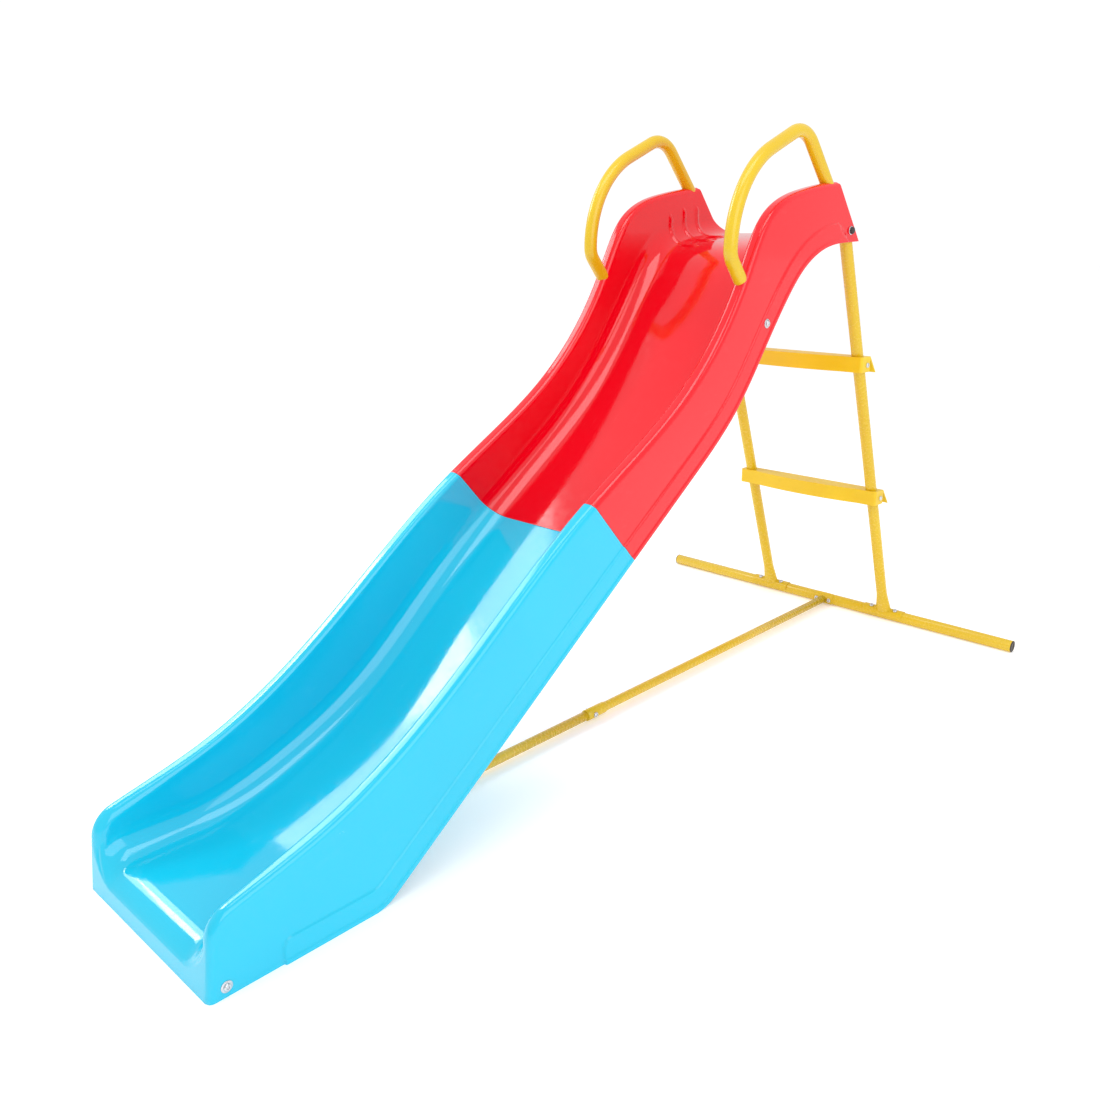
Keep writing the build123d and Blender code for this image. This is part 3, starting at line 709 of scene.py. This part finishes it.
def leg_y(z):
    return BAR_ALONG - LEG_SLOPE * (z - BAR_R)


leg_line = bent([
    (leg_y(17), 17, 0), (leg_y(LEG_BEND_Z), LEG_BEND_Z, 6),
    (LEG_BOLT[0] - 9 * LEG_TOP_SLOPE, LEG_BOLT[1] + 9, 0),
], step=6)
spread = np.clip((72 - leg_line[:, 1]) / 58, 0, 1) ** 1.15
for side, way in (("right", 1), ("left", -1)):
    path = [(way * LEG_X, y, z) for y, z in leg_line]
    radii = TUBE_R - 1.5 * spread
    wide = TUBE_R + 9.5 * spread
    obj = weld(to_object(f"ladder_leg_{side}_tube", *tube(path, radii, wide=wide)))
    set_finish(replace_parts(obj, f"ladder_leg_{side}"), "tube_paint")


def straight(start, end, profile, around=40):
    """Turned part from start to end. profile: (distance from start, radius) pairs."""
    start, end = np.array(start, float), np.array(end, float)
    run = (end - start) / np.linalg.norm(end - start)
    stops, radii = zip(*profile)
    return tube([start + run * s for s in stops], radii, around)


def add_piece(name, node, slot, parts):
    obj = weld(to_object(name, *merged(parts)))
    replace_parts(obj, *([node] if isinstance(node, str) else node))
    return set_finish(obj, slot)


add_piece("ground_bar_tube", "rear_ground_bar", "tube_paint", [straight(
    (-BAR_HALF, BAR_ALONG, BAR_R), (BAR_HALF, BAR_ALONG, BAR_R),
    [(0, BAR_R - 0.6), (0.6, BAR_SKIN_R), (BAR_HALF, BAR_SKIN_R), (2 * BAR_HALF - 0.6, BAR_SKIN_R),
     (2 * BAR_HALF, BAR_R - 0.6)], 56,
)])
add_piece("ground_bar_caps", "end_caps", "cap_dark", [straight(
    (way * (BAR_HALF - 12), BAR_ALONG, BAR_R), (way * (BAR_HALF + 2), BAR_ALONG, BAR_R),
    [(0, 11), (11.9, 11), (12, BAR_R - 0.3), (12.3, BAR_SKIN_R), (13.0, BAR_SKIN_R), (13.6, BAR_R - 0.7),
     (14, BAR_R - 1.8), (13.7, 6)], 48,
) for way in (-1, 1)])

REAR_END = BAR_ALONG - BAR_R - 1.0
add_piece("floor_bar_front_tube", "floor_bar_front", "tube_paint", [straight(
    (0, CROSS[0] + TUBE_R + 1.0, BAR_R), (0, 957, BAR_R),
    [(0, FLOOR_BAR_R), (400, FLOOR_BAR_R), (915, FLOOR_BAR_R)],
)])
add_piece("floor_bar_rear_tube", "floor_bar_rear", "tube_paint", [straight(
    (0, 909, BAR_R), (0, REAR_END, BAR_R),
    [(0.0, FLOOR_BAR_R + 0.1), (0.1, 10.7), (0.5, 11.2), (30, 11.2), (51, 11.2), (54, 10.9), (58, 9.9),
     (61.5, FLOOR_BAR_R), (500, FLOOR_BAR_R), (REAR_END - 909, FLOOR_BAR_R)],
)])
add_piece("front_cross_tube_bar", "front_cross_tube", "tube_paint", [straight(
    (-174, *CROSS), (174, *CROSS),
    [(0, TUBE_R - 0.5), (0.6, TUBE_R), (174, TUBE_R), (347.4, TUBE_R), (348, TUBE_R - 0.5)],
)])


# ------------------------------------------------------------------ saddles
def saddle(centre, inner, half, facing, low, high, wall=2.0):
    """Curved plate round a bar, with rounded corners and edges."""
    x0, y0, z0 = centre
    angles = np.radians(facing + np.linspace(low, high, 25))
    vertices, faces = [], []
    corner = 5.0
    for a in angles:
        near = min(a - angles[0], angles[-1] - a) * inner
        trim = 0.0 if near >= corner else corner - sqrt(max(0.0, corner**2 - (corner - near) ** 2))
        reach = half - trim
        for t in np.linspace(-1, 1, 15):
            vertices.append((x0 + t * reach, y0 + (inner + wall) * cos(a), z0 + (inner + wall) * sin(a)))
    faces = grid_faces(25, 15)
    count = len(vertices)
    lower = []
    for i, a in enumerate(angles):
        for j in range(15):
            x = vertices[i * 15 + j][0]
            lower.append((x, y0 + (inner + 0.02) * cos(a), z0 + (inner + 0.02) * sin(a)))
    vertices += lower
    faces += [tuple(i + count for i in reversed(f)) for f in grid_faces(25, 15)]
    edge = [j for j in range(15)] + [i * 15 + 14 for i in range(1, 25)]
    edge += [24 * 15 + j for j in range(13, -1, -1)] + [i * 15 for i in range(23, 0, -1)]
    for a, b in zip(edge, edge[1:] + edge[:1]):
        faces.append((b, a, a + count, b + count))
    return vertices, faces


def soften(obj, width, angle=40):
    modifier(obj, "BEVEL", width=width / 1000, segments=2, limit_method="ANGLE", angle_limit=radians(angle))
    obj.data.set_sharp_from_angle(angle=radians(angle))
    return obj


LEG_FACING = 90 + 20.83
for side, way in (("right", 1), ("left", -1)):
    soften(add_piece(
        f"foot_saddle_{side}_plate", f"foot_saddle_{side}", "tube_paint",
        [saddle((way * LEG_X, BAR_ALONG, BAR_R), BAR_R, 52, LEG_FACING, -80, 80)],
    ), 0.6)
soften(add_piece("floor_bar_saddle_plate", "floor_bar_saddle", "tube_paint",
                 [saddle((0, BAR_ALONG, BAR_R), BAR_R, 26, 180, -85, 50)]), 0.6)
soften(add_piece("front_saddle_plate", "front_saddle", "tube_paint",
                 [saddle((0, *CROSS), TUBE_R, 26, 0, -75, 75)]), 0.6)


# ------------------------------------------------------------------ treads and small CAD shapes
def refined(node, name, slot, width, angle=30):
    """A copy of a CAD node with its flat facets joined and its edges rounded."""
    source = frame["nodes"][node]
    mesh = source.data.copy()
    mesh.name = name
    obj = bpy.data.objects.new(name, mesh)
    bpy.context.scene.collection.objects.link(obj)
    bm = bmesh.new()
    bm.from_mesh(mesh)
    bmesh.ops.remove_doubles(bm, verts=bm.verts, dist=0.00002)
    bmesh.ops.dissolve_limit(bm, angle_limit=radians(0.6), verts=bm.verts, edges=bm.edges)
    bm.to_mesh(mesh)
    bm.free()
    mesh.materials.clear()
    mesh.shade_smooth()
    mesh.set_sharp_from_angle(angle=radians(angle))
    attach(obj, "root")
    modifier(obj, "BEVEL", width=width / 1000, segments=3, limit_method="ANGLE", angle_limit=radians(angle))
    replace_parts(obj, node)
    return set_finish(obj, slot)


for level in ("lower", "upper"):
    refined(f"tread_{level}", f"tread_{level}_step", "tread_plastic", 1.3)
refined("cross_tube_plugs", "cross_tube_end_plugs", "cap_dark", 0.3)
refined("sleeve_nut", "sleeve_hex_nut", "zinc", 0.4)


# ------------------------------------------------------------------ fasteners
def turned(origin, axis, profile, hexagon=0, around=36):
    """Lathe along axis from origin. profile: (height, radius); the last hexagon rings are six-sided."""
    origin, axis = np.array(origin, float), np.array(axis, float)
    axis /= np.linalg.norm(axis)
    helper = np.array((0, 0, 1.0)) if abs(axis[2]) < 0.9 else np.array((1.0, 0, 0))
    u = np.cross(helper, axis)
    u /= np.linalg.norm(u)
    v = np.cross(axis, u)
    vertices = []
    for i, (h, r) in enumerate(profile):
        six = i >= len(profile) - hexagon
        for k in range(around):
            a = 2 * pi * k / around
            rr = r / cos((a % (pi / 3)) - pi / 6) if six else r
            vertices.append(origin + axis * h + (u * cos(a) + v * sin(a)) * rr)
    faces = grid_faces(len(profile), around, close=True)
    for ring in (0, len(profile) - 1):
        centre = len(vertices)
        vertices.append(origin + axis * profile[ring][0])
        for j in range(around):
            k = (j + 1) % around
            tri = (ring * around + j, ring * around + k, centre)
            faces.append(tri if ring else tri[::-1])
    return vertices, faces


def dome(radius, height, socket, base=0.0):
    """Profile of a domed head with a hexagon socket."""
    rise = [(base, radius - 0.3), (base + 0.3, radius), (base + height * 0.3, radius)]
    for k in range(1, 8):
        a = pi / 2 * k / 8
        rise.append((base + height * (0.3 + 0.7 * sin(a)), socket * 1.25 + (radius - socket * 1.25) * cos(a)))
    top = base + height
    rise += [(top, socket * 1.2), (top - 0.15, socket), (top - 0.4, socket * 0.97)]
    rise += [(base + height * 0.35, socket * 0.95), (base + height * 0.34, 0.2)]
    return rise


def washer(radius=8.5, wall=1.2, hole=3.0):
    outer = [(0, radius - 0.3), (0.3, radius), (wall - 0.35, radius), (wall, radius - 0.4)]
    return [(0, hole), *outer, (wall, hole)]


def bolt(point, axis, length, flat=True, head=5.5, height=3.6, shank=3.0):
    """Screw with its head seated at point and its shank running back along axis."""
    base = 1.2 if flat else 0.0
    parts = [turned(point, axis, dome(head, height, 2.1, base), hexagon=4)]
    if flat:
        parts.append(turned(point, axis, washer()))
    stem = [(-base, shank), (length - 1, shank), (length, shank - 0.9)]
    parts.append(turned(point, [-c for c in axis], stem))
    return parts


def facing(degrees):
    return np.array((0, cos(radians(degrees)), sin(radians(degrees))))


out = facing(LEG_FACING)
screws = []
for way in (-1, 1):
    for dx in (-31.0, 31.0):
        centre = np.array((way * LEG_X + dx, BAR_ALONG, BAR_R))
        screws += bolt(centre + out * (BAR_R + 2), out, 12, flat=False)
add_piece("foot_screws", "foot_bolts", "zinc", screws)
screws = []
for x in (-17.5, 17.5):
    screws += bolt((x, BAR_ALONG - BAR_R - 2, BAR_R), (0, -1, 0), 12, flat=False)
    screws += bolt((x, CROSS[0] + TUBE_R + 2, CROSS[1]), (0, 1, 0), 12, flat=False)
add_piece("floor_bar_screws", "floor_bar_bolts", "zinc", screws)
screws = []
for top in TREAD_TOPS:
    for way in (-1, 1):
        screws += bolt((way * 184, leg_y(top - 18), top - 18), (way, 0, 0), 14, flat=False, shank=2.5)
add_piece("tread_end_screws", "tread_screws", "zinc", screws)
for name, node, face_x, spot, length in (
    ("front_flank_bolts", "front_bolts", FLANK_X, CROSS, 24),
    ("handle_flank_bolts", "handle_bolts", FLANK_X + BAND_PROUD, HANDLE_BOLT, 25),
    ("leg_top_bolts", "leg_bolts", FLANK_X, LEG_BOLT, 29),
):
    pair = sum((bolt((way * face_x, *spot), (way, 0, 0), length) for way in (-1, 1)), [])
    add_piece(name, node, "zinc", pair)
add_piece("sleeve_cross_bolt", "sleeve_bolt", "zinc", bolt((11.2, 927, BAR_R), (1, 0, 0), 29.4, flat=False))
add_piece("leg_bolt_caps", "bolt_caps", "cap_dark", [turned(
    (w * 181.2, *LEG_BOLT), (w, 0, 0),
    [(0, 5.7), (0, 6.8), (0.3, 7.1), (2.6, 7.0), (4.2, 6.3), (5.0, 5.0), (5.2, 3.6), (5.2, 0.3)],
) for w in (-1, 1)])


# ------------------------------------------------------------------ materials
def linear(r, g, b):
    """sRGB 0-255 to linear."""
    values = [c / 255 for c in (r, g, b)]
    return [c / 12.92 if c <= 0.04045 else ((c + 0.055) / 1.055) ** 2.4 for c in values] + [1.0]


class Finish:
    """A procedural material built from noise layers in object space."""

    def __init__(self, name):
        self.material = bpy.data.materials.new(name)
        self.material.use_nodes = True
        self.tree = self.material.node_tree
        self.shader = self.tree.nodes["Principled BSDF"]
        self.place = self.tree.nodes.new("ShaderNodeTexCoord").outputs["Object"]

    def node(self, kind, **values):
        n = self.tree.nodes.new(kind)
        for key, value in values.items():
            if key in n.inputs:
                n.inputs[key].default_value = value
            else:
                setattr(n, key, value)
        return n

    def link(self, a, b):
        self.tree.links.new(a, b)

    def noise(self, scale, detail=3.0, rough=0.5, stretch=(1, 1, 1)):
        mapping = self.node("ShaderNodeMapping")
        mapping.inputs["Scale"].default_value = stretch
        self.link(self.place, mapping.inputs["Vector"])
        n = self.node("ShaderNodeTexNoise", Scale=scale, Detail=detail, Roughness=rough)
        self.link(mapping.outputs["Vector"], n.inputs["Vector"])
        return n.outputs["Fac"]

    def span(self, value, low, high, to_low, to_high):
        n = self.node("ShaderNodeMapRange")
        for key, number in (("From Min", low), ("From Max", high), ("To Min", to_low), ("To Max", to_high)):
            n.inputs[key].default_value = number
        self.link(value, n.inputs["Value"])
        return n.outputs["Result"]

    def mix(self, share, a, b):
        n = self.node("ShaderNodeMix", data_type="RGBA")
        self.link(share, n.inputs["Factor"])
        for socket, value in ((n.inputs[6], a), (n.inputs[7], b)):
            if isinstance(value, list):
                socket.default_value = value
            else:
                self.link(value, socket)
        return n.outputs[2]

    def bump(self, layers):
        """layers: (height socket, strength, distance in m), stacked."""
        previous = None
        for height, strength, distance in layers:
            n = self.node("ShaderNodeBump", Strength=strength, Distance=distance)
            self.link(height, n.inputs["Height"])
            if previous:
                self.link(previous, n.inputs["Normal"])
            previous = n.outputs["Normal"]
        self.link(previous, self.shader.inputs["Normal"])


def plastic(name, colour, deep, rough, rub):
    """Glossy moulded plastic: slow colour drift, mould waviness, fine scuffs along the slide."""
    f = Finish(name)
    drift = f.span(f.noise(2.6, 2.0), 0.3, 0.7, 0.0, 1.0)
    scuffs = f.span(f.noise(260, 4.0, 0.65, (1.0, 0.05, 0.09)), 0.60, 0.74, 0.0, 1.0)
    wear = f.span(f.node("ShaderNodeNewGeometry").outputs["Pointiness"], 0.52, 0.60, 0.0, 0.35)
    base = f.mix(drift, colour, deep)
    pale = [min(1.0, c * 0.8 + 0.2) for c in colour[:3]] + [1.0]
    base = f.mix(f.span(wear, 0, 1, 0, 0.35), base, pale)
    f.link(f.mix(f.span(scuffs, 0, 1, 0, rub), base, pale), f.shader.inputs["Base Color"])
    speck = f.span(f.noise(70, 3.0), 0.35, 0.65, rough - 0.03, rough + 0.05)
    add = f.node("ShaderNodeMath", operation="ADD")
    f.link(speck, add.inputs[0])
    f.link(f.span(scuffs, 0, 1, 0, 0.16), add.inputs[1])
    f.link(add.outputs[0], f.shader.inputs["Roughness"])
    f.bump([(f.noise(7, 1.0), 0.12, 0.0014), (f.noise(420, 2.0), 0.04, 0.00012), (scuffs, 0.05, 0.0001)])
    f.shader.inputs["IOR"].default_value = 1.5
    f.shader.inputs["Coat Weight"].default_value = 0.2
    f.shader.inputs["Coat Roughness"].default_value = 0.03
    return f.material


def paint(name, colour, deep):
    """Powder-coated tube: orange peel, slight shade drift, rubbed high spots."""
    f = Finish(name)
    drift = f.span(f.noise(6, 3.0), 0.3, 0.7, 0.0, 1.0)
    wear = f.span(f.node("ShaderNodeNewGeometry").outputs["Pointiness"], 0.53, 0.64, 0.0, 0.3)
    pale = [min(1.0, c * 0.85 + 0.12) for c in colour[:3]] + [1.0]
    f.link(f.mix(wear, f.mix(drift, colour, deep), pale), f.shader.inputs["Base Color"])
    f.link(f.span(f.noise(180, 3.0), 0.3, 0.7, 0.22, 0.30), f.shader.inputs["Roughness"])
    f.bump([(f.noise(480, 1.0), 0.05, 0.00012), (f.noise(40, 2.0), 0.08, 0.0003)])
    f.shader.inputs["Coat Weight"].default_value = 0.2
    f.shader.inputs["Coat Roughness"].default_value = 0.16
    return f.material


def tread_finish(name, colour, deep):
    """Satin moulded plastic with a fine spark-eroded grain."""
    f = Finish(name)
    drift = f.span(f.noise(9, 3.0), 0.3, 0.7, 0.0, 1.0)
    grime = f.span(f.noise(45, 5.0, 0.7), 0.58, 0.75, 0.0, 0.25)
    dark = [c * 0.75 for c in colour[:3]] + [1.0]
    f.link(f.mix(grime, f.mix(drift, colour, deep), dark), f.shader.inputs["Base Color"])
    f.link(f.span(f.noise(120, 3.0), 0.3, 0.7, 0.30, 0.46), f.shader.inputs["Roughness"])
    f.bump([(f.noise(1400, 2.0), 0.22, 0.0002), (f.noise(30, 2.0), 0.08, 0.0005)])
    return f.material


def zinc(name):
    """Bright zinc plate with cloudy passivation and turning marks."""
    f = Finish(name)
    cloud = f.span(f.noise(350, 4.0, 0.6), 0.3, 0.7, 0.0, 1.0)
    f.link(f.mix(cloud, [0.72, 0.73, 0.76, 1], [0.52, 0.54, 0.58, 1]), f.shader.inputs["Base Color"])
    f.link(f.span(f.noise(900, 3.0), 0.3, 0.7, 0.18, 0.36), f.shader.inputs["Roughness"])
    f.bump([(f.noise(2500, 2.0), 0.15, 0.00008)])
    f.shader.inputs["Metallic"].default_value = 1.0
    return f.material


def cap(name):
    """Dark matt cap plastic."""
    f = Finish(name)
    cloud = f.span(f.noise(120, 4.0, 0.6), 0.3, 0.7, 0.0, 1.0)
    f.link(f.mix(cloud, linear(58, 50, 48), linear(42, 37, 36)), f.shader.inputs["Base Color"])
    f.link(f.span(f.noise(300, 3.0), 0.3, 0.7, 0.42, 0.6), f.shader.inputs["Roughness"])
    f.bump([(f.noise(1600, 2.0), 0.2, 0.0001)])
    return f.material


finishes = {
    "chute_blue": plastic("blue_moulding", linear(22, 194, 226), linear(14, 188, 222), 0.08, 0.03),
    "chute_red": plastic("red_moulding", linear(231, 0, 26), linear(224, 0, 22), 0.08, 0.03),
    "tube_paint": paint("yellow_powder_coat", linear(221, 187, 24), linear(214, 178, 17)),
    "tread_plastic": tread_finish("yellow_tread_plastic", linear(234, 199, 16), linear(226, 188, 8)),
    "zinc": zinc("zinc_plate"),
    "cap_dark": cap("dark_cap_plastic"),
}
slots = {entry["node"]: entry["material_slot"] for entry in frame["record"]["subparts"]}
for node, obj in frame["nodes"].items():
    obj.data.materials.clear()
    obj.data.materials.append(finishes[slots[node]])
for obj in bpy.context.scene.objects:
    if obj.type == "MESH" and "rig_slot" in obj:
        obj.data.materials.clear()
        obj.data.materials.append(finishes[obj["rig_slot"]])

# ------------------------------------------------------------------ floor, light, camera
floor_mesh = bpy.data.meshes.new("studio_floor")
bm = bmesh.new()
bmesh.ops.create_grid(bm, x_segments=2, y_segments=2, size=30)
bm.to_mesh(floor_mesh)
bm.free()
studio_floor = bpy.data.objects.new("studio_floor", floor_mesh)
bpy.context.scene.collection.objects.link(studio_floor)
ground = Finish("pale_floor")
ground.link(
    ground.mix(
        ground.span(ground.noise(0.8, 2.0), 0.3, 0.7, 0, 1), [0.97, 0.97, 0.97, 1], [0.98, 0.98, 0.98, 1],
    ),
    ground.shader.inputs["Base Color"],
)
ground.shader.inputs["Roughness"].default_value = 0.6
ground.shader.inputs["Specular IOR Level"].default_value = 0.1
ground.shader.inputs["Emission Color"].default_value = (1, 1, 1, 1)
ground.shader.inputs["Emission Strength"].default_value = 0.2
floor_mesh.materials.append(ground.material)


def softbox(name, place, target, width, height, power):
    """Rectangular area light aimed at a point."""
    data = bpy.data.lights.new(name, "AREA")
    data.shape = "RECTANGLE"
    data.size, data.size_y, data.energy = width, height, power
    light = bpy.data.objects.new(name, data)
    light.location = place
    light.rotation_euler = (Vector(target) - Vector(place)).to_track_quat("-Z", "Y").to_euler()
    bpy.context.scene.collection.objects.link(light)
    return light


softbox("key_left", (-3.45, -0.95, 3.1), (0.0, -0.3, 0.4), 2.0, 1.8, 46)
softbox("key_core", (-3.35, -1.4, 3.0), (0.0, -0.4, 0.2), 0.9, 0.55, 15)
softbox("overhead", (0.4, -0.4, 3.2), (0.0, 0.0, 0.4), 2.2, 1.0, 20)
softbox("fill_right", (3.4, -1.2, 2.4), (0.0, 0.0, 0.5), 3.0, 3.0, 48)

world = bpy.data.worlds.new("studio")
bpy.context.scene.world = world
world.use_nodes = True
nodes, links = world.node_tree.nodes, world.node_tree.links
sky = nodes["Background"]
sky.inputs["Color"].default_value = (1, 1, 1, 1)
rays = nodes.new("ShaderNodeLightPath")
level = nodes.new("ShaderNodeMapRange")
level.inputs["To Min"].default_value = 0.84
level.inputs["To Max"].default_value = 1.05
links.new(rays.outputs["Is Camera Ray"], level.inputs["Value"])
links.new(level.outputs["Result"], sky.inputs["Strength"])

CAMERA_AT = (1.2244, -1.3791, 0.9356)
camera_data = bpy.data.cameras.new("camera")
camera_data.sensor_width = 36.0
camera_data.sensor_fit = "HORIZONTAL"
camera_data.lens = 33.13
camera = bpy.data.objects.new("camera", camera_data)
yaw, pitch, roll = radians(44.21), radians(17.47), radians(-0.34)
aim = Vector((-sin(yaw) * cos(pitch), cos(yaw) * cos(pitch), -sin(pitch)))
right = Vector((cos(yaw), sin(yaw), 0))
up = right.cross(aim)
camera_right = right * cos(roll) + up * sin(roll)
camera_up = up * cos(roll) - right * sin(roll)
axes = Matrix((camera_right, camera_up, -aim)).transposed().to_4x4()
camera.matrix_world = Matrix.Translation(CAMERA_AT) @ axes
bpy.context.scene.collection.objects.link(camera)
bpy.context.scene.camera = camera
bpy.context.scene.view_settings.view_transform = "Standard"
